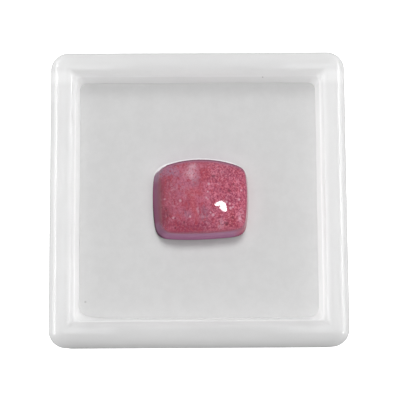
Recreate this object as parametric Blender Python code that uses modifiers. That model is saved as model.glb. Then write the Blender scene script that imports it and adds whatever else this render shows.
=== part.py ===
"""A polished thulite cushion cabochon on a soft pad in an open square display tray.

Metres, +Z up. The origin is the middle of the tray's flat underside. +X runs to the
right and +Y to the back, as the stone is seen in its tray from above and in front.
"""

import math

import bmesh
import bpy

MM = 0.001
CLEARANCE = 0.3 * MM

# Tray: a moulded square with a crowned rim, and a ledge for a lid just inside the rim
TRAY_SIDE = 40.0 * MM
TRAY_HEIGHT = 11.0 * MM
TRAY_CORNER = 2.4 * MM
CROWN_ROUND = 2.1 * MM
FOOT_ROUND = 0.5 * MM
FLOOR_THICKNESS = 1.5 * MM
WELL_SIDE = 32.4 * MM
WELL_CORNER = 1.2 * MM
LEDGE_WIDTH = 0.8 * MM
LEDGE_DEPTH = 0.7 * MM
INNER_EDGE_ROUND = 0.22 * MM
SHARP_EDGE_ANGLE = math.radians(50)

# Pad: a soft square insert that fills about two thirds of the well
PAD_TOP = 8.0 * MM
PAD_SIDE = WELL_SIDE - 2 * CLEARANCE
PAD_CORNER = 1.3 * MM
PAD_EDGE_ROUND = 0.45 * MM

# Stone: heights above its flat back, then how far each side stands from its middle
STONE_LIFT = PAD_TOP + CLEARANCE
STONE_MIDDLE = (0.25 * MM, -0.27 * MM)
FOOT_CHAMFER = 0.2 * MM
WALL_HEIGHT = 1.9 * MM
CREASE_HEIGHT = 2.1 * MM
DOME_HEIGHT = 2.1 * MM
DOME_FULLNESS = 2.3
STONE_RAYS = 72
# From the crease at 1 to the top of the dome at 0
DOME_STEPS = (0.93, 0.84, 0.73, 0.61, 0.48, 0.34, 0.2, 0.08)
# Each side: the way it faces, its distance from the middle, the place along it where
# it bulges most, the radius of its bulge, and how far the drafted wall leans in
STONE_SIDES = {
    "right": ((1, 0), 6.52 * MM, 0.52 * MM, 27 * MM, 0.28 * MM),
    "back": ((0, 1), 5.42 * MM, 0.25 * MM, 13 * MM, 0.13 * MM),
    "left": ((-1, 0), 6.44 * MM, 0.42 * MM, 23 * MM, 1.00 * MM),
    "front": ((0, -1), 5.29 * MM, -1.45 * MM, 55 * MM, 0.66 * MM),
}
CORNER_SHARPNESS = 2.6 / MM
OUTLINE_SEARCH_STEPS = 40
# The oval that the dome's sections turn into on their way up
DOME_OVAL = (6.0 * MM, 5.1 * MM)

COLOURS = {
    "tray": ((0.86, 0.86, 0.86), 0.22),
    "pad": ((0.66, 0.66, 0.66), 0.92),
    "gemstone": ((0.46, 0.10, 0.15), 0.12),
}


def clear_scene():
    for item in list(bpy.data.objects):
        bpy.data.objects.remove(item, do_unlink=True)


def new_collection(name):
    collection = bpy.data.collections.new(name)
    bpy.context.scene.collection.children.link(collection)
    return collection


def material_for(name):
    colour, roughness = COLOURS[name]
    material = bpy.data.materials.new(name)
    material.use_nodes = True
    shader = material.node_tree.nodes["Principled BSDF"]
    shader.inputs["Base Color"].default_value = (*colour, 1.0)
    shader.inputs["Roughness"].default_value = roughness
    shader.inputs["Metallic"].default_value = 0.0
    return material


def object_from(bm, name, collection):
    """Turns a bmesh into a named object in its collection."""
    mesh = bpy.data.meshes.new(name)
    bm.to_mesh(mesh)
    bm.free()
    item = bpy.data.objects.new(name, mesh)
    collection.objects.link(item)
    return item


def finish(item, name):
    """Gives a piece its material, and smooth shading across its rounded faces."""
    item.data.materials.append(material_for(name))
    item.data.shade_smooth()
    item.data.set_sharp_from_angle(angle=SHARP_EDGE_ANGLE)
    return item


def block(side, bottom, top, corner, corner_steps):
    """A square block on the Z axis, with its four upright edges rounded."""
    bm = bmesh.new()
    bmesh.ops.create_cube(bm, size=1.0)
    bmesh.ops.scale(bm, vec=(side, side, top - bottom), verts=bm.verts)
    bmesh.ops.translate(bm, vec=(0, 0, (top + bottom) / 2), verts=bm.verts)
    upright = [e for e in bm.edges if abs(e.verts[0].co.z - e.verts[1].co.z) > (top - bottom) / 2]
    round_edges(bm, upright, corner, corner_steps)
    return bm


def round_edges(bm, edges, width, steps):
    bmesh.ops.bevel(
        bm, geom=edges, offset=width, segments=steps, profile=0.5, affect="EDGES", material=-1
    )


def loop_at(bm, height):
    """The edges that lie flat at a height."""
    return [e for e in bm.edges if all(abs(v.co.z - height) < 0.01 * MM for v in e.verts)]


def cutter(name, side, bottom, top, corner, collection):
    item = object_from(block(side, bottom, top, corner, 4), name, collection)
    item.hide_render = True
    item.display_type = "WIRE"
    return item


def make_tray(parts, cutters):
    bm = block(TRAY_SIDE, 0.0, TRAY_HEIGHT, TRAY_CORNER, 7)
    round_edges(bm, loop_at(bm, TRAY_HEIGHT), CROWN_ROUND, 6)
    round_edges(bm, loop_at(bm, 0.0), FOOT_ROUND, 2)
    tray = object_from(bm, "tray", parts)
    above = TRAY_HEIGHT + 2 * MM
    ledge_side = WELL_SIDE + 2 * LEDGE_WIDTH
    spaces = (
        cutter("well_space", WELL_SIDE, FLOOR_THICKNESS, above, WELL_CORNER, cutters),
        cutter("ledge_space", ledge_side, TRAY_HEIGHT - LEDGE_DEPTH, above, WELL_CORNER, cutters),
    )
    for space in spaces:
        cut = tray.modifiers.new(space.name, "BOOLEAN")
        cut.operation = "DIFFERENCE"
        cut.solver = "EXACT"
        cut.object = space
    soften = tray.modifiers.new("inner_edges", "BEVEL")
    soften.limit_method = "ANGLE"
    soften.angle_limit = SHARP_EDGE_ANGLE
    soften.width = INNER_EDGE_ROUND
    soften.segments = 2
    return finish(tray, "tray")


def make_pad(parts):
    bm = block(PAD_SIDE, FLOOR_THICKNESS + CLEARANCE, PAD_TOP, PAD_CORNER, 6)
    round_edges(bm, loop_at(bm, PAD_TOP), PAD_EDGE_ROUND, 3)
    return finish(object_from(bm, "pad", parts), "pad")


def side_depth(x, y, side, lean):
    """How far a point lies outside one bulging side, which is an arc of a large circle."""
    (face_x, face_y), distance, bulge_at, radius, wall_lean = side
    centre_out = distance - lean * wall_lean - radius
    centre_x = face_x * centre_out + abs(face_y) * bulge_at
    centre_y = face_y * centre_out + abs(face_x) * bulge_at
    return math.hypot(x - centre_x, y - centre_y) - radius


def outline_radius(angle, lean, inset):
    """The distance from the stone's middle to its outline along one ray.

    The outline is the area inside all four sides, with soft corners where two meet.
    """
    low, high = 0.0, 12 * MM
    for _ in range(OUTLINE_SEARCH_STEPS):
        middle = (low + high) / 2
        x, y = middle * math.cos(angle), middle * math.sin(angle)
        depths = [side_depth(x, y, side, lean) for side in STONE_SIDES.values()]
        blend = sum(math.exp(CORNER_SHARPNESS * depth) for depth in depths)
        if math.log(blend) / CORNER_SHARPNESS > -inset:
            high = middle
        else:
            low = middle
    return low


def stone_ring(height, lean, inset=0.0, scale=1.0):
    """A closed section of the stone: lean 0 is its foot, and lean 1 is the crease.

    Smaller scales are sections of the dome, whose corners fade into an oval.
    """
    ring = []
    for step in range(STONE_RAYS):
        angle = 2 * math.pi * step / STONE_RAYS
        oval = 1 / math.hypot(math.cos(angle) / DOME_OVAL[0], math.sin(angle) / DOME_OVAL[1])
        outline = outline_radius(angle, lean, inset)
        reach = scale * (oval + scale * (outline - oval))
        x = STONE_MIDDLE[0] + reach * math.cos(angle)
        y = STONE_MIDDLE[1] + reach * math.sin(angle)
        ring.append((x, y, STONE_LIFT + height))
    return ring


def loft(bm, rings, top):
    """Skins a stack of rings, closes the lowest with a face and the last with a point."""
    rows = [[bm.verts.new(point) for point in ring] for ring in rings]
    count = len(rows[0])
    for low, high in zip(rows, rows[1:]):
        for i in range(count):
            j = (i + 1) % count
            bm.faces.new((low[i], low[j], high[j], high[i]))
    bm.faces.new(list(reversed(rows[0])))
    point = bm.verts.new(top)
    for i in range(count):
        bm.faces.new((rows[-1][i], rows[-1][(i + 1) % count], point))


def make_gemstone(parts):
    crease = CREASE_HEIGHT
    rings = [
        stone_ring(0.0, 0.0, inset=FOOT_CHAMFER),
        stone_ring(FOOT_CHAMFER, 0.05),
        stone_ring(WALL_HEIGHT, 0.85),
        stone_ring(crease, 1.0, inset=0.1 * MM),
    ]
    for step in DOME_STEPS:
        height = crease + DOME_HEIGHT * (1 - step**DOME_FULLNESS)
        rings.append(stone_ring(height, 1.0, inset=0.1 * MM, scale=step))
    bm = bmesh.new()
    loft(bm, rings, (*STONE_MIDDLE, STONE_LIFT + crease + DOME_HEIGHT))
    return finish(object_from(bm, "gemstone", parts), "gemstone")


def main():
    clear_scene()
    parts = new_collection("thulite_gemstone")
    cutters = new_collection("cutters")
    make_tray(parts, cutters)
    make_pad(parts)
    make_gemstone(parts)


main()
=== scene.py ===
"""The looks of a polished thulite cabochon on its pad in a square display tray.

The model's frame is in metres, with +Z up and the origin in the middle of the tray's
underside. +X runs to the right and +Y to the back. Fine sizes are written in
millimetres and multiplied by MM.
"""

import logging
import math
from dataclasses import dataclass, field
from enum import Enum
from functools import reduce
from typing import Any, Callable, Sequence

import bmesh
import bpy
import numpy as np
from bmesh.types import BMesh, BMVert
from bpy.types import Material, Object
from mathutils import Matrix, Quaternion, Vector, noise


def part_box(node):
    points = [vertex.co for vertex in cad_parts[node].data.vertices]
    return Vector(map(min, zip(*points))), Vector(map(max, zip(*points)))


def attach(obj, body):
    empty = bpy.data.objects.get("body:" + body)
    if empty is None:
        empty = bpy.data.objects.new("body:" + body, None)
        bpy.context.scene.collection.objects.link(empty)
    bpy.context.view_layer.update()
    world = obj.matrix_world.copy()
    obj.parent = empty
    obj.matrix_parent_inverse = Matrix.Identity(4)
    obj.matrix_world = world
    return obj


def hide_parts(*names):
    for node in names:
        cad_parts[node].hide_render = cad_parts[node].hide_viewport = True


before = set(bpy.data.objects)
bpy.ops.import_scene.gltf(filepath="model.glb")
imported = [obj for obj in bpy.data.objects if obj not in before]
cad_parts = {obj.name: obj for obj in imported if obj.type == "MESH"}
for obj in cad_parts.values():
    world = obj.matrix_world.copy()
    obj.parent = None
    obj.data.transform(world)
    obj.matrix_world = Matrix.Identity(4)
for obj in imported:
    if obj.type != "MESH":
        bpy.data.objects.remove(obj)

MM = 0.001
WELD = 1e-7
LOG = logging.getLogger("thulite_cabochon")

# Pieces that a lamp lights, or that throw shadows in its light; NONE has only the floor
TRAY = ("display_tray",)
PAD = ("foam_pad",)
STONE = ("cabochon",)
NONE = ("floor",)

Colour = tuple[float, float, float, float]
Point = tuple[float, float, float]
Pair = tuple[float, float]
Names = tuple[str, ...]


class Tone(Enum):
    """Colours as they look in the picture, on a scale of 0 to 255."""

    ROSE = (188, 93, 116)
    CRIMSON = (166, 70, 92)
    RED = (178, 69, 86)
    ORANGE = (192, 92, 105)
    BRICK = (160, 68, 74)
    WINE = (142, 54, 82)
    # Painted shade, on the dome's left
    DUSK = (128, 52, 72)
    DUSTY = (188, 109, 134)
    MAUVE = (160, 98, 121)
    HAZE = (135, 84, 119)
    LAVENDER = (164, 121, 147)
    PINK = (196, 112, 134)
    PALE = (218, 167, 183)
    WALL = (156, 104, 141)
    SHADE = (132, 48, 96)
    BAND = (178, 124, 158)
    LINE = (108, 48, 78)
    # Painted shadow where the stone meets the pad
    SEAM = (66, 36, 52)
    SPARK = (216, 128, 148)
    PIT = (100, 36, 54)
    MILK = (238, 238, 238)
    FELT = (206, 206, 206)
    FLECK = (120, 118, 116)

    def albedo(self, level: float, veil: float) -> Colour:
        """The surface colour that shows as this tone under light of that level.

        Args:
            level: how bright a pure white surface would be, 1 being full white.
            veil: how much light the polish itself throws back, on the same scale.

        Returns:
            A linear colour with alpha.
        """
        linear = []
        for part in self.value:
            share = part / 255
            full = share / 12.92 if share <= 0.04045 else ((share + 0.055) / 1.055) ** 2.4
            linear.append(min(max(full - veil, 0.002) / level, 1.0))
        return (*linear, 1.0)


class Facing(Enum):
    """The four sides of the stone, by the way they face."""

    RIGHT = (1, 0)
    BACK = (0, 1)
    LEFT = (-1, 0)
    FRONT = (0, -1)


def grey(value: float) -> Colour:
    """A plain grey as a linear colour."""
    return (value, value, value, 1.0)


def clamped(value: float) -> float:
    """A value held between 0 and 1."""
    return min(max(value, 0.0), 1.0)


@dataclass(frozen=True)
class Dot:
    """A round spot on a surface, in millimetres: a pit, a speck, a pale spot or a painted glint."""

    x: float
    y: float
    radius: float
    depth: float = 0.0


class Wiring:
    """The shader nodes of a material or a world, added and linked by short calls."""

    def __init__(self, owner: Any, shader: str) -> None:
        """Starts on the owner's nodes.

        Args:
            owner: a new material or world.
            shader: the name of its shader node.
        """
        owner.use_nodes = True
        self.owner = owner
        self.tree = owner.node_tree
        self.shader = self.tree.nodes[shader]

    def plug(self, socket: bpy.types.NodeSocket, value: Any) -> None:
        """Links a socket to another, or sets its value.

        Args:
            socket: the input.
            value: an output socket, a number or a colour.
        """
        if isinstance(value, bpy.types.NodeSocket):
            self.tree.links.new(value, socket)
        else:
            socket.default_value = value

    def add(self, kind: str, inputs: dict[Any, Any], output: Any = 0, **settings: Any) -> Any:
        """Adds one node.

        Args:
            kind: the node's type, after ShaderNode.
            inputs: values or sockets by input name or number.
            output: which output to hand back.
            **settings: the node's own properties.

        Returns:
            The output socket.
        """
        node = self.tree.nodes.new("ShaderNode" + kind)
        for key, value in settings.items():
            setattr(node, key, value)
        for key, value in inputs.items():
            self.plug(node.inputs[key], value)
        return node.outputs[output]

    def part(self, vector: Any, axis: int) -> Any:
        """One part of a vector, by the number of its axis."""
        return self.add("SeparateXYZ", {0: vector}, axis)

    def math(self, operation: str, a: Any, b: Any = 0.0, c: Any = 0.0) -> Any:
        """One sum on up to three numbers."""
        return self.add("Math", {0: a, 1: b, 2: c}, operation=operation)

    def line(self, value: Any, slope: float, start: Any) -> Any:
        """The value times a slope, plus what it starts from."""
        return self.math("MULTIPLY_ADD", value, slope, start)

    def times(self, *parts: Any) -> Any:
        """The product of several numbers."""
        return reduce(lambda product, part: self.math("MULTIPLY", product, part), parts)

    def vector(self, operation: str, a: Any, b: Any, output: int = 0) -> Any:
        """One sum on two vectors."""
        return self.add("VectorMath", {0: a, 1: b}, output, operation=operation)

    def scaled(self, vector: Any, by: Any) -> Any:
        """A vector made longer or shorter."""
        return self.add("VectorMath", {0: vector, 3: by}, operation="SCALE")

    def ramp(self, value: Any, low: Any, high: Any, start: Any = 0.0, end: Any = 1.0) -> Any:
        """A smooth step: start where value is at low, and end where it is at high."""
        inputs = {0: value, 1: low, 2: high, 3: start, 4: end}
        return self.add("MapRange", inputs, interpolation_type="SMOOTHSTEP")

    def finish(self, **values: Any) -> Any:
        """Sets the shader's own inputs, with _ for each space.

        Args:
            **values: a value or socket for each input.

        Returns:
            The finished material or world.
        """
        for key, value in values.items():
            self.plug(self.shader.inputs[key.replace("_", " ")], value)
        return self.owner


class Paint(Wiring):
    """The material of one piece, painted layer by layer.

    It knows the point on the piece in millimetres: whole, without its height, and by its
    three parts.
    """

    def __init__(self, name: str, base: Any, level: float = 1.0, veil: float = 0.0) -> None:
        """Starts a material with its Principled shader.

        Args:
            name: the material's name.
            base: the tone or colour of the lowest layer.
            level: how bright a pure white surface would be in its light.
            veil: how much light its polish throws back.
        """
        super().__init__(bpy.data.materials.new(name), "Principled BSDF")
        self.level = level
        self.veil = veil
        self.colour = base
        self.place = self.scaled(self.add("TexCoord", {}, "Object"), 1 / MM)
        self.flat = self.vector("MULTIPLY", self.place, (1.0, 1.0, 0.0))
        self.across, self.along, self.up = (self.part(self.place, axis) for axis in range(3))

    def shown(self, colour: Any) -> Any:
        """A tone as the surface colour that shows it, and any other colour as it is."""
        return colour.albedo(self.level, self.veil) if isinstance(colour, Tone) else colour

    def noise(
        self, place: Any, scale: float, detail: float = 2.0, rough: float = 0.5, output: int = 0
    ) -> Any:
        """Cloudy noise with a given number of lumps to the millimetre."""
        inputs = {"Vector": place, "Scale": scale, "Detail": detail, "Roughness": rough}
        return self.add("TexNoise", inputs, output)

    def bent(self, place: Any, scale: float, reach: float, detail: float = 3.0, rough: float = 0.6) -> Any:
        """A point moved by noise, so that what is drawn at it gets ragged edges.

        Args:
            place: the point.
            scale: the noise's lumps to the millimetre.
            reach: how far the noise moves it, in millimetres.
            detail: how many finer layers the noise has.
            rough: how strong they are.

        Returns:
            The moved point.
        """
        cloud = self.noise(self.place, scale, detail, rough, output=1)
        centred = self.vector("SUBTRACT", cloud, (0.5, 0.5, 0.5))
        return self.vector("ADD", place, self.scaled(centred, reach))

    def mix(self, share: Any, under: Any, over: Any, blend: str = "MIX") -> Any:
        """One tone or colour over another, by a share from 0 to 1."""
        inputs = {0: share, 6: self.shown(under), 7: self.shown(over)}
        return self.add("Mix", inputs, 2, data_type="RGBA", blend_type=blend)

    def lay(self, share: Any, over: Any) -> None:
        """Paints a tone or colour over the layers so far."""
        self.colour = self.mix(share, self.colour, over)

    def tint(self, shade: Any, share: Any = 1.0) -> None:
        """Multiplies the layers so far by a shade."""
        self.colour = self.mix(share, self.colour, shade, "MULTIPLY")

    def speckle(self, dots: Sequence[Dot], strength: Any, tone: Tone) -> None:
        """Paints round spots with soft rims.

        Args:
            dots: the spots.
            strength: how strongly they show, from 0 to 1.
            tone: their tone.
        """
        for dot in dots:
            away = self.vector("DISTANCE", self.flat, (dot.x, dot.y, 0.0), 1)
            share = self.ramp(away, 0.35 * dot.radius, 1.3 * dot.radius, 1.0, 0.0)
            self.lay(self.times(share, strength), tone)

    def bump(self, height: Any, strength: float, distance: float) -> Any:
        """Small relief from a height."""
        return self.add("Bump", {"Height": height, "Strength": strength, "Distance": distance})

    def finish(self, **values: Any) -> Material:
        """Plugs in the painted colour, and sets the shader's other inputs."""
        return super().finish(Base_Color=self.shown(self.colour), **values)


@dataclass(frozen=True)
class Patch:
    """A soft oval of one tone inside the stone, seen from above, in millimetres."""

    tone: Tone
    x: float
    y: float
    wide: float
    deep: float
    share: float = 0.8
    turn: float = 0.0
    soft: float = 0.75

    def share_at(self, paint: Paint, place: Any) -> Any:
        """How much of the patch shows at a point.

        Args:
            paint: the stone's material.
            place: the point in millimetres.

        Returns:
            A share from 0 to the patch's own.
        """
        away = paint.vector("SUBTRACT", place, (self.x, self.y, 0.0))
        inputs = {"Vector": away, "Axis": (0, 0, 1), "Angle": -math.radians(self.turn)}
        turned = paint.add("VectorRotate", inputs, rotation_type="AXIS_ANGLE")
        scaled = paint.vector("MULTIPLY", turned, (1 / self.wide, 1 / self.deep, 0.0))
        reach = paint.add("VectorMath", {0: scaled}, 1, operation="LENGTH")
        return paint.ramp(reach, 1 - self.soft, 1 + self.soft, self.share, 0.0)


@dataclass(frozen=True)
class StoneSide:
    """One bulging side of the stone, which is an arc of a large circle."""

    facing: Facing
    distance: float
    bulge_at: float
    radius: float
    lean: float
    crease_bulge_at: float
    crease_radius: float

    def circle(self, lean: float) -> Point:
        """The side's circle.

        Args:
            lean: 0 at the stone's foot and 1 at its crease.

        Returns:
            The circle's middle, seen from the stone's own middle, and its radius.
        """
        face_x, face_y = self.facing.value
        radius = 1 / ((1 - lean) / self.radius + lean / self.crease_radius)
        along = (1 - lean) * self.bulge_at + lean * self.crease_bulge_at
        out = self.distance - lean * self.lean - radius
        return face_x * out + abs(face_y) * along, face_y * out + abs(face_x) * along, radius

    def depth(self, x: np.ndarray, y: np.ndarray, lean: float) -> np.ndarray:
        """How far points lie outside the side, and below 0 for inside."""
        centre_x, centre_y, radius = self.circle(lean)
        return np.hypot(x - centre_x, y - centre_y) - radius


@dataclass(frozen=True)
class StoneOutline:
    """The stone seen from above: four bulging sides round its middle."""

    middle: Pair
    sides: tuple[StoneSide, ...]

    def outside(self, paint: Paint, lean: float, soft: float) -> Any:
        """How far a point of a material lies outside the outline.

        Args:
            paint: the material.
            lean: 0 for the outline at the stone's foot and 1 for its crease.
            soft: how softly two sides meet, in millimetres.

        Returns:
            A distance in millimetres, below 0 for inside.
        """
        depths = []
        for side in self.sides:
            x, y, radius = side.circle(lean)
            centre = ((x + self.middle[0]) / MM, (y + self.middle[1]) / MM, 0.0)
            distance = paint.vector("DISTANCE", paint.flat, centre, 1)
            depths.append(paint.math("SUBTRACT", distance, radius / MM))
        return reduce(lambda one, other: paint.math("SMOOTH_MAX", one, other, soft), depths)


@dataclass(frozen=True)
class PolishedThulite:
    """Opaque pink stone: soft clouds, a fine grain on the right, and a hard polish."""

    outline: StoneOutline
    foot: float
    wall: float
    patches: tuple[Patch, ...]
    pits: tuple[Dot, ...]
    pale_spots_and_glints: tuple[Dot, ...]
    level: float = 0.77
    veil: float = 0.014
    # Where each part of the stone begins and where it is whole, in millimetres
    grain_across: Pair = (0.2, 2.2)
    left: Pair = (-4.2, -5.2)
    right: Pair = (4.4, 6.2)
    back: Pair = (3.0, 4.4)
    waist_back: Pair = (2.8, 1.6)
    waist_front: Pair = (-3.8, -3.0)

    def clouds(self, paint: Paint) -> None:
        """Paints crimson and dusty clouds, then each placed patch.

        Args:
            paint: the stone's material.
        """
        paint.lay(paint.ramp(paint.noise(paint.place, 0.8, 3.0, 0.6), 0.4, 0.62), Tone.CRIMSON)
        dusty = paint.noise(paint.bent(paint.place, 0.9, 1.2), 1.0, 4.0, 0.65)
        paint.lay(paint.ramp(dusty, 0.5, 0.7, 0.0, 0.7), Tone.DUSTY)
        ragged = paint.bent(paint.place, 1.3, 0.9)
        for patch in self.patches:
            paint.lay(patch.share_at(paint, ragged), patch.tone)

    def streaks(self, paint: Paint) -> None:
        """Paints narrow uneven streaks, brighter red and dustier pink by turns.

        Args:
            paint: the stone's material.
        """
        long = paint.vector("MULTIPLY", paint.place, (2.0, 0.9, 1.0))
        streak = paint.noise(paint.bent(long, 1.1, 1.2, 2.0, 0.5), 1.5, 4.0, 0.65)
        paint.lay(paint.ramp(streak, 0.5, 0.37, 0.0, 0.9), Tone.RED)
        paint.lay(paint.ramp(streak, 0.52, 0.66, 0.0, 0.7), Tone.PINK)

    def wisps(self, paint: Paint) -> None:
        """Paints thin pale veins.

        Args:
            paint: the stone's material.
        """
        vein = paint.noise(paint.bent(paint.place, 0.9, 1.6), 0.9, 4.0, 0.6)
        near = paint.math("ABSOLUTE", paint.math("SUBTRACT", vein, 0.5))
        where = paint.ramp(paint.noise(paint.place, 0.6, 1.0), 0.48, 0.66)
        paint.lay(paint.times(paint.ramp(near, 0.0, 0.03, 0.4, 0.0), where), Tone.PALE)

    def grain(self, paint: Paint) -> None:
        """Paints fine light and dark crystals, strongest on the stone's right half.

        Args:
            paint: the stone's material.
        """
        right = paint.ramp(paint.across, *self.grain_across, 0.42, 1.0)
        fine = paint.noise(paint.bent(paint.place, 1.7, 0.5, 2.0, 0.5), 4.2, 2.0, 0.7)
        paint.lay(paint.times(paint.ramp(fine, 0.5, 0.36), right, 0.85), Tone.WINE)
        paint.lay(paint.times(paint.ramp(fine, 0.5, 0.64), right, 0.78), Tone.SPARK)
        cells = {"Vector": paint.place, "Scale": 2.6, "Randomness": 1.0}
        near = paint.ramp(paint.add("TexVoronoi", cells), 0.1, 0.36, 1.0, 0.0)
        chosen = paint.ramp(paint.part(paint.add("TexVoronoi", cells, 1), 0), 0.55, 0.75)
        paint.lay(paint.times(near, chosen, right, 0.7), Tone.SPARK)

    def margins(self, paint: Paint) -> None:
        """Paints what follows the stone's edge: painted shade near it, walls and dark lines.

        The walls are lavender, with a dark line at the crease. Painted shade darkens the dome near
        the edge, most on the left, and the foot, with a dark line and a darker seam on the left. The left
        wall is greyer and runs softly into the dome.

        Args:
            paint: the stone's material.
        """
        edge = self.outline.outside(paint, 1.0, 1.3)
        height = paint.math("SUBTRACT", paint.up, self.foot / MM)
        left = paint.ramp(paint.across, *self.left)
        right = paint.ramp(paint.across, *self.right)
        back = paint.ramp(paint.along, *self.back)
        behind, before = paint.ramp(paint.along, *self.waist_back), paint.ramp(paint.along, *self.waist_front)
        waist = paint.times(behind, before)
        # Painted shade: darker crimson on the dome near its edge, weakest on the right
        near = paint.ramp(edge, paint.line(left, -0.5, -0.9), -0.05, 0.0, 0.5)
        left_ends = paint.times(left, paint.math("SUBTRACT", 1.0, waist))
        kept = paint.ramp(left_ends, 0.0, 1.0, 1.0, 0.0)
        paint.lay(paint.times(near, kept, paint.line(right, -0.6, 1.0)), Tone.CRIMSON)
        paint.lay(paint.times(paint.ramp(edge, -0.6, -0.15), back, 0.7), Tone.LAVENDER)
        # Painted shade: darker on the dome's left near its edge
        paint.lay(paint.times(paint.ramp(edge, -0.75, 0.0), left, waist, 0.7), Tone.DUSK)

        wall_top = self.wall / MM
        high, low = paint.line(left, 0.1, wall_top - 0.02), paint.line(left, -0.5, wall_top - 0.3)
        walls = paint.times(paint.ramp(height, high, low), 0.9)
        bands = paint.noise(paint.vector("MULTIPLY", paint.place, (0.2, 0.2, 3.2)), 1.0, 2.0, 0.5)
        front = paint.mix(paint.ramp(bands, 0.45, 0.62, 0.0, 0.5), Tone.WALL, Tone.BAND)
        front = paint.mix(right, front, Tone.CRIMSON)
        paint.lay(walls, paint.mix(left, front, paint.mix(waist, Tone.HAZE, Tone.SHADE)))

        off = paint.math("ABSOLUTE", paint.math("ADD", edge, paint.line(back, 0.1, 0.03)))
        crease = paint.ramp(off, 0.04, paint.line(back, -0.1, 0.26), 1.0, 0.0)
        share = paint.line(left, -0.3, paint.line(back, 0.4, 0.4))
        paint.lay(paint.times(crease, share), Tone.LINE)
        # Painted shade: a dark line along the foot, weaker on the right
        full, shade_fade = paint.line(right, 0.5, 0.1), paint.line(right, 0.6, 0.55)
        paint.lay(paint.ramp(height, full, shade_fade, 0.4, 0.0), Tone.LINE)
        # Painted shadow: a darker seam at the foot on the left, fading towards the back
        shaded = paint.times(left, paint.ramp(paint.along, 1.0, -3.0))
        foot_shadow_share = paint.times(paint.ramp(height, 0.35, 0.85, 1.0, 0.0), shaded, 0.85)
        paint.lay(foot_shadow_share, Tone.SEAM)

    def build(self) -> Material:
        """Makes the material: its layers of colour, then its polish.

        Returns:
            The material.
        """
        paint = Paint("polished_thulite", Tone.ROSE, self.level, self.veil)
        self.clouds(paint)
        self.streaks(paint)
        self.wisps(paint)
        self.grain(paint)
        paint.speckle(self.pits, 0.7, Tone.PIT)
        # Pale spots, and beside the highlight painted glints
        paint.speckle(self.pale_spots_and_glints, 0.8, Tone.PALE)
        self.margins(paint)
        height = paint.math("SUBTRACT", paint.up, self.foot / MM)
        rough = paint.ramp(paint.noise(paint.place, 2.5, 4.0, 0.7), 0.35, 0.75, 0.03, 0.07)
        relief = paint.noise(paint.place, 5.0, 4.0, 0.7)
        return paint.finish(
            Roughness=rough,
            IOR=1.69,
            Specular_IOR_Level=paint.ramp(height, 0.2, self.wall / MM, 0.06, 0.5),
            Normal=paint.bump(relief, 0.1, 0.01 * MM),
        )


@dataclass(frozen=True)
class MilkyPlastic:
    """Glossy translucent white moulding, with painted light on the well's walls and painted shade along the
    front.
    """

    level: float
    flecks: tuple[Dot, ...]
    painted_wall_light: float = 0.94
    painted_front_shade: float = 0.9
    # Where each change, the painted light and shade among them, begins and where it is whole, in millimetres
    well_wall: Pair = (16.75, 16.35)
    lip_outside: Pair = (17.6, 16.7)
    lip_inside: Pair = (15.0, 16.0)
    front_inside: Pair = (-15.2, -16.0)
    front_outside: Pair = (-19.0, -17.2)
    front_ends: Pair = (17.0, 14.0)
    rim_height: Pair = (9.75, 9.95)

    def build(self) -> Material:
        """Makes the material.

        Returns:
            The material.
        """
        paint = Paint("milky_plastic", Tone.MILK, self.level)
        cloud = paint.ramp(paint.noise(paint.place, 0.09, 2.0), 0.3, 0.7, 0.0, 0.35)
        paint.lay(cloud, (0.74, 0.74, 0.745, 1.0))

        # Painted light: the well's walls and the lip made whiter
        out = paint.vector("ABSOLUTE", paint.place, (0.0, 0.0, 0.0))
        sideways = paint.part(out, 0)
        far = paint.math("MAXIMUM", sideways, paint.part(out, 1))
        along = paint.along
        lip = paint.times(paint.ramp(along, *self.lip_outside, 0.0, 0.5), paint.ramp(along, *self.lip_inside))
        walls = paint.math("MAXIMUM", paint.ramp(far, *self.well_wall), lip)
        paint.lay(walls, grey(self.painted_wall_light))

        # Painted shade: the rim darker along the front, away from its ends
        front = paint.times(paint.ramp(along, *self.front_inside), paint.ramp(along, *self.front_outside))
        paint.tint(grey(self.painted_front_shade), paint.times(front, paint.ramp(sideways, *self.front_ends)))
        paint.speckle(self.flecks, paint.ramp(paint.up, *self.rim_height, 0.0, 0.6), Tone.FLECK)
        relief = paint.noise(paint.place, 1.1, 3.0, 0.6)
        return paint.finish(
            Roughness=paint.ramp(paint.noise(paint.place, 0.5, 4.0, 0.6), 0.3, 0.7, 0.04, 0.07),
            IOR=1.49,
            Subsurface_Weight=1.0,
            Subsurface_Radius=(1.0, 1.0, 1.0),
            Subsurface_Scale=3.2 * MM,
            Normal=paint.bump(relief, 0.05, 0.02 * MM),
        )


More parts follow.
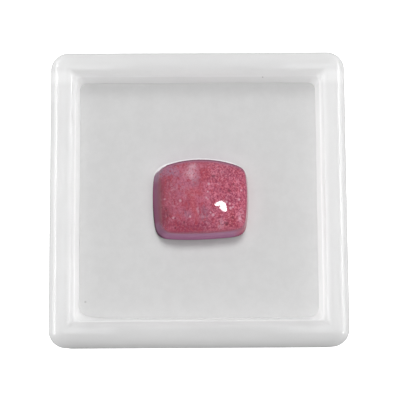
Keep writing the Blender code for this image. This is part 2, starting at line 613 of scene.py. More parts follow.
@dataclass(frozen=True)
class FeltedFoam:
    """Pale grey foam with a felted skin, with painted light round the stone and painted shade at the back and
    on the left.
    """

    level: float
    specks: tuple[Dot, ...]
    outline: StoneOutline
    # Where each painted light and shade begins and where it ends, in millimetres
    ring: Pair = (0.0, 2.8)
    before_stone: Pair = (-5.6, -4.2)
    behind_stone: Pair = (2.3, 5.0)
    beside_stone: Pair = (4.4, 6.2)
    back_wall: Pair = (13.4, 15.6)
    left_wall: Pair = (-9.0, -15.0)

    def painted_light_and_shade(self, paint: Paint) -> Any:
        """How bright the felt is: painted light round the stone, and painted shade at the back and on the
        left.

        Args:
            paint: the foam's material.

        Returns:
            A factor for the felt's colour.
        """
        away = self.outline.outside(paint, 0.0, 1.6)
        beside = paint.ramp(paint.math("ABSOLUTE", paint.across), *self.beside_stone, 1.0, 0.45)
        behind = paint.times(paint.ramp(paint.along, *self.behind_stone), beside)
        # Painted light: a wide paler ring round the stone, weaker in front, that cancels the stone's shade on
        # the felt
        painted_light_peak = paint.ramp(paint.along, *self.before_stone, 1.06, 1.09)
        wide = paint.ramp(away, *self.ring, painted_light_peak, 1.0)
        # Painted light: a thin bright halo round the stone's foot, strongest at the back
        near, far = paint.line(behind, 0.28, 0.04), paint.line(behind, 0.38, 0.15)
        thin = paint.ramp(away, near, far, paint.line(behind, 0.45, 1.0), 1.0)
        # Painted shade: the felt darker next to the back wall
        painted_back_shade = paint.ramp(paint.along, *self.back_wall, 1.0, 0.9)
        # Painted shade: the felt a little darker towards the left wall
        shade_fade = paint.ramp(paint.across, *self.left_wall, 1.0, 0.97)
        return paint.times(wide, thin, painted_back_shade, shade_fade)

    def build(self) -> Material:
        """Makes the material.

        Returns:
            The material.
        """
        paint = Paint("felted_foam", Tone.FELT, self.level)
        paint.colour = paint.scaled(paint.shown(Tone.FELT)[:3], self.painted_light_and_shade(paint))
        mottle = paint.ramp(paint.noise(paint.place, 0.7, 4.0, 0.65), 0.3, 0.7)
        paint.tint(paint.mix(mottle, grey(0.98), grey(1.02)))
        fibre = paint.noise(paint.vector("MULTIPLY", paint.place, (1.0, 2.2, 1.0)), 7.0, 3.0, 0.7)
        paint.tint(paint.mix(fibre, grey(0.95), grey(1.05)))
        paint.speckle(self.specks, 0.45, Tone.FLECK)
        return paint.finish(
            Roughness=paint.ramp(fibre, 0.3, 0.7, 0.86, 0.98),
            Sheen_Weight=0.1,
            Normal=paint.bump(fibre, 0.35, 0.03 * MM),
        )


@dataclass(frozen=True)
class PaleFloor:
    """The plain white surface under the tray, lit a little from below."""

    glow: float = 1.1

    def build(self) -> Material:
        """Makes the material.

        Returns:
            The material.
        """
        paint = Paint("pale_floor", grey(0.93))
        paint.lay(paint.noise(paint.place, 0.01, 1.0), grey(0.95))
        return paint.finish(Roughness=0.9, Emission_Color=grey(1.0), Emission_Strength=self.glow)


def skin(rows: Sequence[np.ndarray]) -> BMesh:
    """Wraps a grid round a stack of closed rings and closes both ends.

    Args:
        rows: the points of each ring, as many on one as on the next.

    Returns:
        A closed bmesh with its faces outwards.
    """
    rings, around = len(rows), len(rows[0])
    bm = bmesh.new()
    bmesh.ops.create_grid(bm, x_segments=around, y_segments=rings - 1, size=0.5)
    for vert in bm.verts:
        turn = round((vert.co.x + 0.5) * around) % around
        ring = round((vert.co.y + 0.5) * (rings - 1))
        vert.co = rows[ring][turn]
    bmesh.ops.remove_doubles(bm, verts=bm.verts, dist=WELD)
    open_edges = [edge for edge in bm.edges if edge.is_boundary]
    bmesh.ops.holes_fill(bm, edges=open_edges, sides=0)
    bmesh.ops.recalc_face_normals(bm, faces=bm.faces)
    bm.normal_update()
    return bm


def settled(bm: BMesh, settle: Callable[[BMVert], None]) -> BMesh:
    """Moves every point of a shape by a piece's own rule.

    Args:
        bm: the shape.
        settle: what moves one point.

    Returns:
        The same shape, with its normals up to date.
    """
    for vert in bm.verts:
        settle(vert)
    bm.normal_update()
    return bm


def lumps(place: Vector, size: float, seed: float) -> float:
    """Smooth noise from about -1 to 1 with lumps of a given size in metres."""
    return noise.noise(place / size + Vector((seed, -seed, 2 * seed)))


def at_height(flat: np.ndarray, height: float) -> np.ndarray:
    """Flat points as a ring at a height."""
    return np.column_stack([flat, np.full(len(flat), height)])


def placed(name: str, data: Any) -> Object:
    """Adds an object to the scene.

    Args:
        name: the object's name.
        data: its mesh, lamp or camera.

    Returns:
        The new object.
    """
    item = bpy.data.objects.new(name, data)
    bpy.context.scene.collection.objects.link(item)
    return item


def meshed(name: str, bm: BMesh, material: Material) -> Object:
    """Turns a bmesh into an object with one finish.

    Args:
        name: the object's name.
        bm: its shape, which is used up.
        material: its finish.

    Returns:
        The new object.
    """
    mesh = bpy.data.meshes.new(name)
    bm.to_mesh(mesh)
    bm.free()
    mesh.materials.append(material)
    return placed(name, mesh)


def make_piece(name: str, bm: BMesh, material: Material, node: str) -> Object:
    """Makes a piece that stands for a solid of the frame.

    Args:
        name: the piece's name.
        bm: its shape, which is used up.
        material: its finish.
        node: the solid that it replaces.

    Returns:
        The new object.
    """
    piece = meshed(name, bm, material)
    mesh = piece.data
    mesh.shade_smooth()
    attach(piece, "root")
    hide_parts(node)
    LOG.info("%s: %d vertices and %d faces, for %s", name, len(mesh.vertices), len(mesh.polygons), node)
    return piece


@dataclass(frozen=True)
class CornerLift:
    """How the front of the well, and the pad in it, bends back near its two corners."""

    side: float = 16.2 * MM
    starts_at: float = 0.4
    whole_at: float = 0.9
    left: float = 0.8 * MM
    left_reach: float = 1.7 * MM
    right: float = 0.45 * MM
    right_reach: float = 1.4 * MM

    def at(self, x: float, y: float) -> float:
        """How far a point moves back.

        Args:
            x: its place across the tray.
            y: its place along the tray.

        Returns:
            A distance, which is nothing in the back half.
        """
        share = clamped((-y / self.side - self.starts_at) / (self.whole_at - self.starts_at))
        left = self.left * math.exp(-(self.side + x) / self.left_reach)
        right = self.right * math.exp(-(self.side - x) / self.right_reach)
        return share * (left + right)


def rounded_square(half: float, corner: float, side_steps: int, corner_steps: int) -> np.ndarray:
    """The points of a square with round corners, anticlockwise from its right side.

    Args:
        half: from the middle to a side.
        corner: the corner radius.
        side_steps: points along each straight side.
        corner_steps: points round each corner.

    Returns:
        An array of x and y.
    """
    straight = half - corner
    along = np.linspace(-straight, straight, side_steps, endpoint=False)
    bend = np.linspace(0, math.pi / 2, corner_steps, endpoint=False)
    side = np.stack([np.full(side_steps, half), along], axis=1)
    arc = np.stack([straight + corner * np.cos(bend), straight + corner * np.sin(bend)], axis=1)
    quarter = np.vstack([side, arc])
    turns = []
    for quarter_turn in range(4):
        angle = quarter_turn * math.pi / 2
        spin = np.array([[math.cos(angle), math.sin(angle)], [-math.sin(angle), math.cos(angle)]])
        turns.append(quarter @ spin)
    return np.vstack(turns)


@dataclass
class WallProfile:
    """A section through a wall, walked from point to point.

    Each point is how far it lies in from the outermost plane, and its height. Heading 0
    runs outwards, 90 up, 180 inwards and 270 down.
    """

    inset: float
    height: float
    heading: float = 0.0
    points: list[Pair] = field(default_factory=list)

    def __post_init__(self) -> None:
        """Keeps the starting point."""
        self.points.append((self.inset, self.height))

    def line(self, length: float, steps: int = 1) -> "WallProfile":
        """Walks straight on.

        Args:
            length: how far.
            steps: the points on the way.

        Returns:
            The same section.
        """
        angle = math.radians(self.heading)
        for _ in range(steps):
            self.inset -= math.cos(angle) * length / steps
            self.height += math.sin(angle) * length / steps
            self.points.append((self.inset, self.height))
        return self

    def bend(self, radius: float, degrees: float, steps: int) -> "WallProfile":
        """Walks round an arc.

        Args:
            radius: the arc's radius.
            degrees: how far it turns, to the left where that is positive.
            steps: the points on the way.

        Returns:
            The same section.
        """
        share = degrees / steps
        chord = 2 * radius * math.sin(math.radians(abs(share)) / 2)
        for _ in range(steps):
            self.heading += share / 2
            self.line(chord)
            self.heading += share / 2
        return self


@dataclass
class DisplayTray:
    """The moulded tray: drafted walls, a crowned rim, a narrow seat for a lid, and a well.

    The rim runs from the shoulder over the crown to an edge with a thin glinting flat, and
    from there down a lip to the seat. Slopes, turns and falls are in degrees.
    """

    side: float
    height: float
    lift: CornerLift
    corner: float = 2.4 * MM
    least_corner: float = 0.35 * MM
    well_corner: float = 0.9 * MM
    crown_edge: float = 2.8 * MM
    corner_fade: float = 0.9 * MM
    flat: float = 1.5 * MM
    foot_round: float = 0.5 * MM
    draft: float = -1.0
    shoulder_radius: float = 1.85 * MM
    shoulder_turn: float = 59.5
    shoulder_flat: float = 0.1 * MM
    crown_radius: float = 2.65 * MM
    crown_fall: float = 4.0
    edge_radius: float = 0.9 * MM
    glint_slope: float = 37.0
    glint_length: float = 0.12 * MM
    lip_slope: float = 52.0
    lip_length: float = 0.15 * MM
    seat_slope: float = 30.0
    seat_radius: float = 0.3 * MM
    seat_length: float = 0.2 * MM
    seat_edge: float = 0.35 * MM
    wall_slope: float = 80.0
    floor: float = 1.5 * MM
    floor_round: float = 0.5 * MM
    well_from: float = 3.3 * MM
    well_under: float = 0.9 * MM
    well_fade: float = 1.8 * MM
    unevenness: float = 0.012 * MM
    uneven_fade: float = 3 * MM
    side_steps: int = 30
    corner_steps: int = 14

    def crown(self, walk: WallProfile) -> WallProfile:
        """Walks from the top of the outer wall to the crest of the rim.

        Args:
            walk: the section so far.

        Returns:
            The same section.
        """
        walk.bend(self.shoulder_radius, self.shoulder_turn, 10)
        walk.line(self.shoulder_flat, 2)
        return walk.bend(self.crown_radius, 90 - self.shoulder_turn + self.draft, 10)

    def wall_length(self) -> float:
        """The straight outer wall that brings the crest to the tray's height.

        Returns:
            A length along the wall.
        """
        below = WallProfile(0.0, 0.0).bend(self.foot_round, 90 - self.draft, 6)
        above = self.crown(WallProfile(0.0, 0.0, 90 + self.draft))
        return (self.height - below.height - above.height) / math.cos(math.radians(self.draft))

    def profile(self) -> list[Pair]:
        """The section from the underside round the rim to the floor of the well.

        Returns:
            How far in from the outside each point lies, and its height.
        """
        walk = WallProfile(self.foot_round + self.flat, 0.0)
        walk.line(self.flat, 2)
        walk.bend(self.foot_round, 90 - self.draft, 6)
        walk.heading = 90 + self.draft
        walk.line(self.wall_length(), 12)
        self.crown(walk)
        walk.heading = 180.0
        walk.bend(self.crown_radius, self.crown_fall, 5)
        walk.bend(self.edge_radius, self.glint_slope - self.crown_fall, 10)
        walk.line(self.glint_length, 2)
        walk.bend(self.seat_radius, self.lip_slope - self.glint_slope, 4)
        walk.line(self.lip_length, 2)
        walk.bend(self.seat_radius, self.seat_slope - self.lip_slope, 5)
        walk.line(self.seat_length, 2)
        walk.bend(self.seat_edge, self.wall_slope - self.seat_slope, 9)
        drop = walk.height - self.floor - self.floor_round
        walk.line(drop / math.sin(math.radians(self.wall_slope)), 16)
        walk.bend(self.floor_round, -self.wall_slope, 6)
        walk.line(self.flat, 2)
        return walk.points

    def corner_at(self, inset: float) -> float:
        """The corner radius of one of the section's rings.

        Args:
            inset: how far in from the outside the ring lies.

        Returns:
            A radius, least at the inner edge of the crown.
        """
        if inset < self.crown_edge:
            return max(self.corner - inset, self.least_corner)
        share = min((inset - self.crown_edge) / self.corner_fade, 1.0)
        return self.least_corner + share * (self.well_corner - self.least_corner)

    def build(self) -> BMesh:
        """Lofts the section round the square, then settles it.

        Returns:
            The tray's shape.
        """
        points = self.profile()
        outermost = min(inset for inset, _ in points)
        rows = []
        for inset, height in points:
            inset -= outermost
            half = self.side / 2 - inset
            flat = rounded_square(half, self.corner_at(inset), self.side_steps, self.corner_steps)
            rows.append(at_height(flat, height))
        return settled(skin(rows), self.settle)

    def settle(self, vert: BMVert) -> None:
        """Makes the moulding uneven by a hundredth of a millimetre, and bends the well.

        Args:
            vert: the point to move.
        """
        share = clamped((vert.co.z - self.floor) / self.uneven_fade)
        bow = lumps(vert.co, 6 * MM, 3.7) + 0.5 * lumps(vert.co, 2.2 * MM, 8.1)
        vert.co -= vert.normal * (self.unevenness * share * (bow + 1.0))
        if max(abs(vert.co.x), abs(vert.co.y)) < self.side / 2 - self.well_from:
            depth = (self.height - self.well_under - vert.co.z) / self.well_fade
            vert.co.y += clamped(depth) * self.lift.at(vert.co.x, vert.co.y)


@dataclass
class FoamPad:
    """The soft insert: a slab with round corners, uneven edges and a dent for the stone.

    Its front edge bends back at the corners, as the well does.
    """

    low: Vector
    high: Vector
    lift: CornerLift
    corner: float = 0.9 * MM
    under_edge: Pair = (1.4 * MM, 0.7 * MM)
    side_from: float = 0.2 * MM
    edge_round: float = 0.02 * MM
    taper: float = 4.0
    bow: float = 0.02 * MM
    spread: float = 0.33 * MM
    relief: float = 0.02 * MM
    dent: float = 0.06 * MM
    dent_reach: Pair = (7.2 * MM, 6.2 * MM)
    top_rings: int = 70

    def outline(self) -> np.ndarray:
        """The pad's uneven edge as it lies in the well.

        Returns:
            An array of x and y.
        """
        half = (self.high.x - self.low.x) / 2 + self.spread
        bent = []
        for x, y in rounded_square(half, self.corner, 84, 16):
            place = Vector((x, y, 0.0))
            pull = self.bow * (0.8 + lumps(place, 4.5 * MM, 5.3) + 0.5 * lumps(place, 1.7 * MM, 1.9))
            place *= 1 - pull / half
            bent.append((place.x, place.y + self.lift.at(x, y)))
        return np.array(bent)

    def build(self) -> BMesh:
        """Stacks the rings from under the pad up its side and in to the middle.

        Returns:
            The pad's shape.
        """
        outline = self.outline()
        half = outline[:, 0].max()
        side_to = self.high.z - self.edge_round
        lean = math.tan(math.radians(self.taper))
        rings = [(inset, self.low.z) for inset in self.under_edge]
        for height in np.linspace(self.low.z + self.side_from, side_to, 12):
            rings.append((lean * (self.high.z - height), height))
        for angle in np.linspace(0, math.pi / 2, 7)[1:]:
            inset = self.edge_round * (1 - math.cos(angle))
            rings.append((inset, side_to + self.edge_round * math.sin(angle)))
        for inset in np.linspace(self.edge_round, half, self.top_rings)[1:]:
            rings.append((inset, self.high.z))
        rows = [at_height(outline * (1 - inset / half), height) for inset, height in rings]
        return settled(skin(rows), self.settle)

    def settle(self, vert: BMVert) -> None:
        """Gives the top its soft unevenness, and presses it in under the stone.

        Args:
            vert: the point to move.
        """
        if vert.co.z < self.high.z - self.edge_round:
            return
        rough = 0.6 * lumps(vert.co, 3.1 * MM, 4.4) + 0.4 * lumps(vert.co, 0.9 * MM, 6.6)
        reach = math.hypot(vert.co.x / self.dent_reach[0], vert.co.y / self.dent_reach[1])
        press = clamped((1.15 - reach) / 0.3)
        vert.co.z += self.relief * (rough - 1.0) - self.dent * press * press * (3 - 2 * press)


@dataclass
class Cabochon:
    """The polished stone: flat back, low drafted walls, a soft crease and a dome.

    Soft corners are given by their bearing in degrees and how much they lose of their
    sharpness.
    """

    foot: float
    outline: StoneOutline
    pits: tuple[Dot, ...]
    foot_round: float = 0.22 * MM
    wall: float = 2.15 * MM
    wall_fullness: float = 1.25
    dome: float = 2.1 * MM
    dome_fullness: float = 2.25
    oval: Pair = (6.0 * MM, 5.1 * MM)
    corner_sharpness: float = 2.8 / MM
    crease_sharpness: float = 3.2 / MM
    soft_corners: tuple[Pair, ...] = ((220.0, 0.42), (320.0, 0.34))
    soft_corner_width: float = 22.0
    search_reach: float = 12 * MM
    search_steps: int = 40
    rays: int = 420
    wall_rings: int = 24
    dome_rings: int = 110
    crease_reach: float = 0.45 * MM
    crease_passes: int = 12
    left_reach: float = 0.75 * MM
    left_passes: int = 45
    soft_left_of: float = -4.3 * MM
    unevenness: float = 0.02 * MM

    def bearings(self) -> np.ndarray:
        """The bearing of every ray, anticlockwise from the right."""
        return np.arange(self.rays) * 2 * math.pi / self.rays

    def reach(self, lean: float) -> np.ndarray:
        """How far the outline lies from the middle, along every ray.

        Args:
            lean: 0 at the stone's foot and 1 at its crease.

        Returns:
            One distance for each ray.
        """
        bearings = self.bearings()
        sharpness = (1 - lean) * self.corner_sharpness + lean * self.crease_sharpness
        for bearing, share in self.soft_corners:
            away = (np.degrees(bearings) - bearing) / self.soft_corner_width
            sharpness = sharpness * (1 - share * np.exp(-(away**2)))
        low = np.zeros(self.rays)
        high = np.full(self.rays, self.search_reach)
        for _ in range(self.search_steps):
            tried = (low + high) / 2
            x, y = tried * np.cos(bearings), tried * np.sin(bearings)
            blend = sum(np.exp(sharpness * side.depth(x, y, lean)) for side in self.outline.sides)
            outside = np.log(blend) > 0
            high = np.where(outside, tried, high)
            low = np.where(outside, low, tried)
        return low

    def ring(self, reach: np.ndarray, height: float) -> np.ndarray:
        """A closed section at a height above the stone's flat back."""
        rays = np.column_stack([np.cos(self.bearings()), np.sin(self.bearings())])
        return at_height(self.outline.middle + reach[:, None] * rays, self.foot + height)

    def build(self) -> BMesh:
        """Stacks the sections, softens the crease, and settles the surface.

        Returns:
            The stone's shape.
        """
        foot, crease = self.reach(0.0), self.reach(1.0)
        rays = self.bearings()
        oval = 1 / np.hypot(np.cos(rays) / self.oval[0], np.sin(rays) / self.oval[1])
        rows = []
        for angle in np.linspace(0, math.pi / 2, 5)[:-1]:
            inset = self.foot_round * (1 - math.sin(angle))
            rows.append(self.ring(foot - inset, self.foot_round * (1 - math.cos(angle))))
        for share in np.linspace(self.foot_round / self.wall, 1.0, self.wall_rings)[:-1]:
            lean = share**self.wall_fullness
            rows.append(self.ring(foot + lean * (crease - foot), share * self.wall))
        for scale in np.linspace(1.0, 0.0, self.dome_rings):
            reach = scale * (oval + scale * (crease - oval))
            rows.append(self.ring(reach, self.wall + self.dome * (1 - scale**self.dome_fullness)))
        bm = skin(rows)
        self.soften(bm)
        return settled(bm, self.settle)

    def soften(self, bm: BMesh) -> None:
        """Rounds the crease between the walls and the dome, most on the left.

        Args:
            bm: the stone's shape.
        """
        level = self.foot + self.wall
        near = [vert for vert in bm.verts if abs(vert.co.z - level) < self.crease_reach]
        left = [vert for vert in bm.verts if vert.co.x < self.soft_left_of]
        left = [vert for vert in left if abs(vert.co.z - level) < self.left_reach]
        axes = {"use_axis_x": True, "use_axis_y": True, "use_axis_z": True}
        for verts, passes in ((near, self.crease_passes), (left, self.left_passes)):
            for _ in range(passes):
                bmesh.ops.smooth_vert(bm, verts=verts, factor=0.5, **axes)
        bm.normal_update()

    def settle(self, vert: BMVert) -> None:
        """Moves a point by the polish's unevenness, and into a pit where one is near.

        Args:
            vert: the point to move.
        """
        rise = vert.co.z - self.foot
        if rise < 0.1 * MM:
            return
        wave = 0.8 * lumps(vert.co, 2.4 * MM, 2.2) + 0.15 * lumps(vert.co, 0.7 * MM, 9.1)
        move = self.unevenness * (wave - 0.6)
        for pit in self.pits:
            away = math.hypot(vert.co.x / MM - pit.x, vert.co.y / MM - pit.y) / pit.radius
            if away < 3 and rise > self.wall:
                move -= pit.depth * MM * math.exp(-away * away)
        vert.co += vert.normal * move


@dataclass(frozen=True)
class SoftDisc:
    """A far round softbox, given by where it stands and how large it looks.

    Tilt is from straight up. Bearing 0 is to the right and 90 to the back. All angles are
    in degrees, and a glow of 1 is as bright as white paper in full light.
    """

    name: str
    tilt: float
    bearing: float
    radius: float
    glow: float
    lights: Names
    shadows: Names
    paired: bool = False

    def bearings(self) -> tuple[float, ...]:
        """Its own bearing, and the one across the middle where it is one of a pair."""
        return (self.bearing, 180 - self.bearing) if self.paired else (self.bearing,)

    def direction(self, bearing: float) -> Vector:
        """The way from the tray to the lamp."""
        tilt, turn = math.radians(self.tilt), math.radians(bearing)
        return Vector((math.sin(tilt) * math.cos(turn), math.sin(tilt) * math.sin(turn), math.cos(tilt)))


@dataclass(frozen=True)
class Softbox:
    """A near rectangular or oval softbox that faces a point, in metres.

    One that is gloss_only shows in reflections and lights nothing else.
    """

    name: str
    place: Point
    aim: Point
    width: float
    length: float
    glow: float
    lights: Names
    shadows: Names
    spin: float = 0.0
    oval: bool = False
    gloss_only: bool = False


def side_strips(
    name: str, tilt: float, spread: float, glow: float, gloss_only: bool = False
) -> tuple[Softbox, ...]:
    """Two long softboxes on the left and right of the tray, parallel to its sides.

    Args:
        name: their name.
        tilt: degrees from straight up.
        spread: how wide they look from the tray, in degrees.
        glow: how bright they are.
        gloss_only: whether they show only as reflections.

    Returns:
        The left and the right softbox, which light only the tray.
    """
    away, along, level, length = 0.5, 0.05, 0.01, 0.5
    out, rise = away * math.sin(math.radians(tilt)), level + away * math.cos(math.radians(tilt))
    width = 2 * away * math.tan(math.radians(spread / 2))
    aim = (0.0, along, level)
    return tuple(
        Softbox(name, (x, along, rise), aim, width, length, glow, TRAY, NONE, 90.0, gloss_only=gloss_only)
        for x in (-out, out)
    )


@dataclass
class Studio:
    """The pale floor, the white tent, the lamps and the camera."""

    discs: tuple[SoftDisc, ...]
    boxes: tuple[Softbox, ...]
    floor_half: float = 1.5
    tent_glow: float = 0.436
    tent_slope: float = 0.2
    camera_at: Vector = field(default_factory=lambda: Vector((-0.43, -24.34, 184.4)) * MM)
    camera_turn: Point = (7.822, -0.213, -0.331)
    lens: float = 118.43
    sensor: float = 36.0

    def build(self) -> None:
        """Sets up the studio round the finished pieces."""
        self.floor()
        self.world()
        for disc in self.discs:
            for bearing in disc.bearings():
                self.disc(disc, bearing)
        for box in self.boxes:
            self.box(box)
        self.camera()

    def floor(self) -> None:
        """Lays the floor under the tray."""
        bm = bmesh.new()
        bmesh.ops.create_grid(bm, x_segments=4, y_segments=4, size=self.floor_half)
        floor = meshed("floor", bm, PaleFloor().build())
        floor.visible_diffuse = False
        floor.visible_glossy = False

    def world(self) -> None:
        """Puts up a plain white tent all round, a little brighter towards the back."""
        world = bpy.data.worlds.new("light_tent")
        bpy.context.scene.world = world
        wiring = Wiring(world, "Background")
        backwards = wiring.part(wiring.add("TexCoord", {}, "Generated"), 1)
        front, back = self.tent_glow * (1 - self.tent_slope), self.tent_glow * (1 + self.tent_slope)
        glow = wiring.add("MapRange", {0: backwards, 1: -1.0, 3: front, 4: back})
        wiring.finish(Color=grey(1.0), Strength=glow)

    def group(self, name: str, members: Names) -> bpy.types.Collection:
        """A set of pieces that a lamp lights, or that throw shadows in its light.

        Args:
            name: the set's name.
            members: the names of its pieces.

        Returns:
            The set.
        """
        group = bpy.data.collections.new(name)
        for member in members:
            group.objects.link(bpy.data.objects[member])
        return group

    def lamp(self, data: bpy.types.Light, lights: Names, shadows: Names) -> Object:
        """Adds a lamp to the scene.

        Args:
            data: the lamp's data.
            lights: the pieces that it lights.
            shadows: the pieces that throw shadows in its light.

        Returns:
            The lamp.
        """
        lamp = placed(data.name, data)
        lamp.light_linking.receiver_collection = self.group(data.name + "_lights", lights)
        lamp.light_linking.blocker_collection = self.group(data.name + "_shadows", shadows)
        return lamp

    def disc(self, disc: SoftDisc, bearing: float) -> None:
        """Adds a far round softbox.

        Args:
            disc: the softbox.
            bearing: where it stands.
        """
        data = bpy.data.lights.new(disc.name, "SUN")
        data.angle = 2 * math.radians(disc.radius)
        data.energy = disc.glow * math.pi * math.sin(math.radians(disc.radius)) ** 2
        lamp = self.lamp(data, disc.lights, disc.shadows)
        lamp.rotation_euler = disc.direction(bearing).to_track_quat("Z", "Y").to_euler()

    def box(self, box: Softbox) -> None:
        """Adds a near softbox.

        Args:
            box: the softbox.
        """
        data = bpy.data.lights.new(box.name, "AREA")
        data.shape = "ELLIPSE" if box.oval else "RECTANGLE"
        data.size, data.size_y = box.width, box.length
        area = box.width * box.length * (math.pi / 4 if box.oval else 1.0)
        data.energy = box.glow * math.pi * area
        lamp = self.lamp(data, box.lights, box.shadows)
        lamp.visible_diffuse = not box.gloss_only
        lamp.location = box.place
        facing = (Vector(box.place) - Vector(box.aim)).to_track_quat("Z", "Y")
        lamp.rotation_euler = (facing @ Quaternion((0.0, 0.0, 1.0), math.radians(box.spin))).to_euler()

    def camera(self) -> None:
        """Looks almost straight down, from a little to the front."""
        data = bpy.data.cameras.new("camera")
        data.lens = self.lens
        data.sensor_width = self.sensor
        data.clip_start = 0.01
        camera = placed("camera", data)
        camera.location = self.camera_at
        camera.rotation_mode = "ZXY"
        camera.rotation_euler = [math.radians(turn) for turn in self.camera_turn]
        bpy.context.scene.camera = camera
        bpy.context.scene.view_settings.view_transform = "Standard"


LIGHT_LEVEL = 1.05
STONE_SINKS = 0.04 * MM
TRAY_FLECKS = (Dot(8.8, 16.3, 0.13),)
PAD_SPECKS = (Dot(-15.2, -13.8, 0.16),)
DISCS = (
    SoftDisc("back_corner_low", 80, 45, 12, 1.9, TRAY, TRAY, paired=True),
    SoftDisc("pad_key", 40.5, 84, 9, 23.4, PAD, STONE),
    SoftDisc("pad_wide", 60, 0, 15, 0.34, PAD, TRAY, paired=True),
    SoftDisc("pad_right", 45, 40, 12, 2.9, PAD, STONE),
    SoftDisc("pad_back", 45, 90, 14, 1.9, PAD, TRAY),
)
BOXES = (
    *side_strips("side_high", 26.0, 14.0, 0.76),
    *side_strips("side_upper", 40.0, 14.0, 0.78),
    *side_strips("side_middle", 54.0, 14.0, 1.22),
    *side_strips("side_lower", 67.0, 12.0, 0.6),
    *side_strips("side_line", 69.6, 7.0, 2.3),
    *side_strips("side_low", 80.0, 14.0, 2.3),
    *side_strips("side_top", 12.0, 14.0, 1.0, gloss_only=True),
    *side_strips("side_sheen", 24.0, 38.0, 0.7, gloss_only=True),
    *side_strips("side_glint", 67.0, 5.0, 5.0, gloss_only=True),
    Softbox(
        "boot_leg", (0.217, -0.031, 0.312), (0.217, -0.031, 0.0),
        0.077, 0.117, 17.0, STONE, NONE, -65.0, oval=True,
    ),
    Softbox(
        "boot_toe", (0.165, -0.001, 0.312), (0.165, -0.001, 0.0),
        0.118, 0.031, 17.0, STONE, NONE, 17.0, oval=True,
    ),
)
PITS = tuple(
    Dot(*spot)
    for spot in (
        (2.0, 2.6, 0.22, 0.012), (4.1, 0.65, 0.26, 0.012), (3.75, -3.7, 0.28, 0.02),
        (4.57, -2.85, 0.17, 0.012), (-3.1, -3.0, 0.13, 0.008), (-4.95, 0.75, 0.2, 0.008),
        (-4.9, -1.4, 0.16, 0.008), (-4.3, -1.7, 0.14, 0.006), (-3.1, 4.3, 0.16, 0.006),
        (-3.1, -4.2, 0.16, 0.006), (4.7, 1.6, 0.16, 0.006), (-1.9, -3.5, 0.15, 0.006),
    )
)
# Pale spots in the stone; the four at x 3.75 to 4.6 beside the highlight are painted glints
PALE_SPOTS_AND_GLINTS = tuple(
    Dot(*spot)
    for spot in (
        (1.4, 1.5, 0.19), (1.05, -0.35, 0.15), (1.25, -0.55, 0.11), (1.25, 0.45, 0.14),
        (1.95, -2.6, 0.2), (1.6, -2.3, 0.14), (5.45, -0.45, 0.17), (-3.35, -2.9, 0.17),
        (3.75, -0.85, 0.15), (4.15, -1.1, 0.15), (4.25, -1.65, 0.2), (4.6, -1.5, 0.13),
        (5.75, 0.8, 0.15), (5.5, -3.0, 0.17), (-4.5, -0.35, 0.14), (-2.4, -0.7, 0.2),
        (-1.1, -2.8, 0.17), (-0.9, 2.8, 0.14),
    )
)
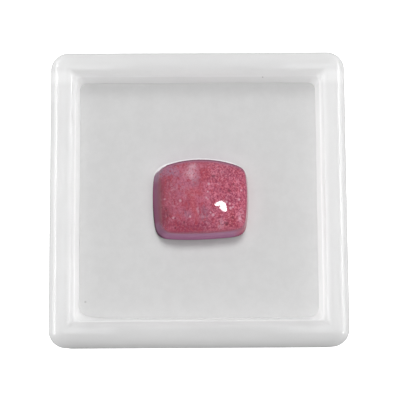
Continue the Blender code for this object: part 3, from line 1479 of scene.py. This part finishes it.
# Each patch has its place, half its width and depth, its share, its turn and its softness
PATCHES = (
    Patch(Tone.LAVENDER, -4.2, 3.5, 1.5, 0.75, 0.95, 15.0, 0.5),
    Patch(Tone.LAVENDER, -2.9, 3.1, 0.9, 0.6, 0.6),
    Patch(Tone.LAVENDER, -5.3, 2.7, 0.6, 0.7, 0.85),
    Patch(Tone.HAZE, -5.1, -4.1, 0.9, 0.8, 0.9, -30.0, 0.5),
    Patch(Tone.PINK, -1.9, 4.6, 0.8, 0.3, 0.6),
    Patch(Tone.ROSE, -1.9, 3.65, 0.5, 0.5),
    Patch(Tone.CRIMSON, -4.4, 1.9, 1.0, 0.9, 0.9),
    Patch(Tone.PINK, -3.4, 2.2, 0.25, 0.4, 0.5, 30.0),
    Patch(Tone.DUSTY, -1.9, 1.5, 1.2, 0.9, 0.85),
    Patch(Tone.MAUVE, -0.5, 2.1, 0.5, 0.9, 0.85),
    Patch(Tone.PALE, -0.4, 2.0, 0.45, 0.8, 0.2),
    Patch(Tone.PALE, -1.0, 3.3, 0.75, 1.05, 0.55, -18.0, 0.8),
    Patch(Tone.PALE, -0.65, 4.05, 0.38, 0.38, 0.85, 0.0, 0.8),
    Patch(Tone.PALE, -1.0, 3.4, 0.35, 0.6, 0.85, -15.0, 0.8),
    Patch(Tone.PALE, -1.4, 2.85, 0.5, 0.35, 0.9, 15.0, 0.8),
    Patch(Tone.PALE, -0.9, 2.7, 0.27, 0.58, 1.0, 0.0, 0.6),
    Patch(Tone.PALE, -1.3, 2.8, 0.45, 0.35),
    Patch(Tone.RED, 0.95, 3.0, 0.7, 1.2, 1.0, 0.0, 0.5),
    Patch(Tone.PINK, 0.6, 4.1, 0.7, 0.4, 0.5),
    Patch(Tone.ORANGE, -0.7, 0.3, 1.1, 0.7),
    Patch(Tone.DUSTY, -2.5, 0.1, 0.5, 0.6),
    Patch(Tone.ROSE, -3.7, -0.4, 1.0, 1.4, 0.7),
    Patch(Tone.CRIMSON, -4.75, -1.2, 0.35, 1.2, 0.7),
    Patch(Tone.ROSE, -2.3, -1.3, 0.7, 0.5, 0.6),
    Patch(Tone.DUSTY, -2.5, -2.1, 0.8, 0.6, 0.5),
    Patch(Tone.MAUVE, -1.5, -2.5, 0.4, 0.6, 1.0, 15.0, 0.6),
    Patch(Tone.ORANGE, -0.6, -1.6, 0.4, 1.5, 0.85, 8.0, 0.6),
    Patch(Tone.PALE, 0.0, -2.0, 0.14, 0.4, 0.6),
    Patch(Tone.PINK, 1.3, -0.3, 0.7, 2.2, 0.5, 0.0, 0.8),
    Patch(Tone.MAUVE, 0.75, -2.5, 0.5, 1.1, 1.0, 0.0, 0.5),
    # Painted shade on the dome's left, darkest towards the lower left
    Patch(Tone.DUSK, -4.85, -2.9, 0.4, 0.9, 0.95, -8.0),
    Patch(Tone.DUSK, -4.2, -3.7, 0.5, 0.4, 0.7),
    Patch(Tone.DUSK, -4.3, -2.5, 0.6, 0.8, 0.85),
    Patch(Tone.DUSK, -4.9, 0.5, 0.4, 0.9, 0.5),
    Patch(Tone.CRIMSON, -2.6, -3.8, 1.1, 0.55, 0.9, -8.0),
    Patch(Tone.BRICK, -1.9, -4.0, 0.35, 0.3, 0.7),
    Patch(Tone.CRIMSON, 0.9, -4.1, 1.7, 0.45, 0.9),
    Patch(Tone.WINE, 0.8, -3.9, 1.6, 0.5, 0.65),
    Patch(Tone.WINE, -2.2, -3.9, 1.2, 0.45, 0.6),
    Patch(Tone.PINK, 2.75, -2.9, 0.5, 0.9, 0.85, -10.0),
    Patch(Tone.LAVENDER, 3.0, -3.8, 0.35, 0.6, 0.9, 0.0, 0.5),
    Patch(Tone.PALE, 3.0, -3.8, 0.4, 0.6, 0.95),
    Patch(Tone.BRICK, 4.6, -3.0, 0.6, 0.9, 0.85, 20.0),
    Patch(Tone.BRICK, 4.2, -3.9, 0.6, 0.35, 0.6),
    Patch(Tone.PINK, 5.6, -2.9, 0.4, 0.9, 0.9, 12.0),
    Patch(Tone.PALE, 5.7, -2.6, 0.35, 0.7, 0.6),
    Patch(Tone.PINK, 4.3, -4.6, 1.7, 0.5, 0.7),
    Patch(Tone.WINE, -1.0, -4.6, 2.8, 0.5, 0.6),
    Patch(Tone.CRIMSON, 3.3, 1.3, 0.7, 1.4),
    Patch(Tone.CRIMSON, 3.3, -3.0, 1.6, 0.9, 0.35),
    Patch(Tone.CRIMSON, 4.6, 1.1, 0.8, 0.9, 0.5),
    Patch(Tone.CRIMSON, 4.5, 3.0, 0.9, 0.7, 0.7),
    Patch(Tone.WINE, 4.4, 2.8, 0.9, 0.6, 0.4),
    Patch(Tone.WINE, 4.6, -0.2, 1.0, 0.55, 0.7),
    Patch(Tone.WINE, 1.6, 2.4, 0.25, 0.5, 0.5, 25.0),
)
OUTLINE = StoneOutline(
    (0.25 * MM, -0.27 * MM),
    (
        StoneSide(Facing.RIGHT, 6.54 * MM, 0.45 * MM, 29 * MM, 0.28 * MM, 0.52 * MM, 27 * MM),
        StoneSide(Facing.BACK, 5.42 * MM, 0.1 * MM, 15 * MM, 0.01 * MM, 0.1 * MM, 14.5 * MM),
        StoneSide(Facing.LEFT, 6.45 * MM, 0.4 * MM, 33 * MM, 0.95 * MM, 1.5 * MM, 60 * MM),
        StoneSide(Facing.FRONT, 5.29 * MM, -1.45 * MM, 55 * MM, 0.72 * MM, -1.45 * MM, 55 * MM),
    ),
)


def main() -> None:
    """Builds the tray, the pad and the stone, then the studio."""
    logging.basicConfig(level=logging.INFO, format="%(name)s: %(message)s")
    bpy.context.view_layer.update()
    lift = CornerLift()

    tray_low, tray_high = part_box("tray")
    tray = DisplayTray(tray_high.x - tray_low.x, tray_high.z, lift)
    plastic = MilkyPlastic(LIGHT_LEVEL, TRAY_FLECKS)
    make_piece("display_tray", tray.build(), plastic.build(), "tray")

    pad_low, pad_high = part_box("pad")
    pad = FoamPad(pad_low, pad_high, lift)
    foam = FeltedFoam(LIGHT_LEVEL, PAD_SPECKS, OUTLINE)
    cushion = make_piece("foam_pad", pad.build(), foam.build(), "pad")

    stone = Cabochon(pad_high.z - STONE_SINKS, OUTLINE, PITS)
    thulite = PolishedThulite(OUTLINE, stone.foot, stone.wall, PATCHES, PITS, PALE_SPOTS_AND_GLINTS)
    make_piece("cabochon", stone.build(), thulite.build(), "gemstone")

    Studio(DISCS, BOXES).build()


if __name__ == "__main__":
    main()
